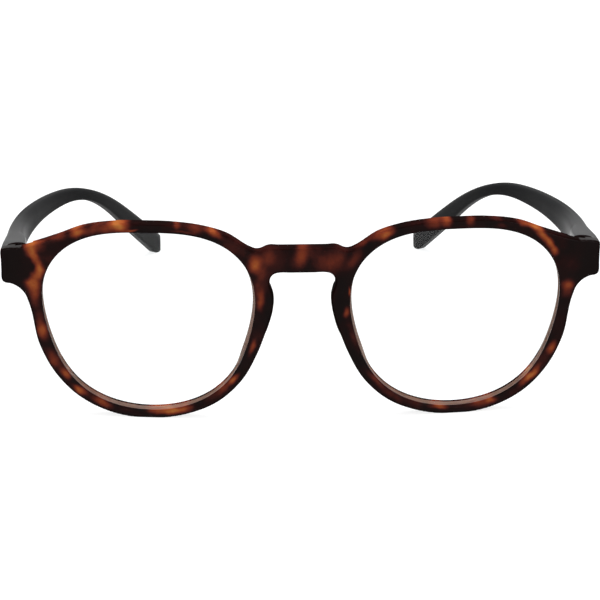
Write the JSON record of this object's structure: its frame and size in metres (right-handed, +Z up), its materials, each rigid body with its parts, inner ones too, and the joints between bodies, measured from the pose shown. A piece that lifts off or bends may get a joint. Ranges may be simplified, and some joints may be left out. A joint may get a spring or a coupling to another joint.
{
  "type": "eyeglasses",
  "caption": "Round panto eyeglasses with a keyhole-like bridge, moulded nose pads, clear lenses and slim temples that fold inward on upright hinges.",
  "frame": {"origin": "on the table, under the middle of the open glasses' bounding box", "axes": "+Z up; the front faces -Y and the temples run back along +Y; +X is to the viewer's right when looking at the front, which is the wearer's left"},
  "size_m": [0.143, 0.1312, 0.048],
  "materials": {
    "tortoise_plastic": "satin dark brown tortoise with soft amber and red-brown patches",
    "clear_lens": "clear and uncoloured",
    "temple_plastic": "matte black with a soft touch",
    "screw_steel": "slotted steel",
    "brass": "plain turned brass"
  },
  "bodies": {
    "front": {"front": "tortoise_plastic", "lens_right": "clear_lens", "lens_left": "clear_lens", "hinge_screw_right": "screw_steel", "hinge_screw_left": "screw_steel", "thread_insert_right": "brass", "thread_insert_left": "brass"},
    "temple_right": {"temple_right": "temple_plastic"},
    "temple_left": {"temple_left": "temple_plastic"}
  },
  "joints": [
    {"name": "temple_right_fold", "type": "hinge", "parent": "front", "child": "temple_right", "pos_m": [0.0663, -0.05564, 0.03625], "axis": [0, 0, 1], "range_deg": [0, 71.5]},
    {"name": "temple_left_fold", "type": "hinge", "parent": "front", "child": "temple_left", "pos_m": [-0.0663, -0.05564, 0.03625], "axis": [0, 0, -1], "range_deg": [0, 76.5]}
  ]
}
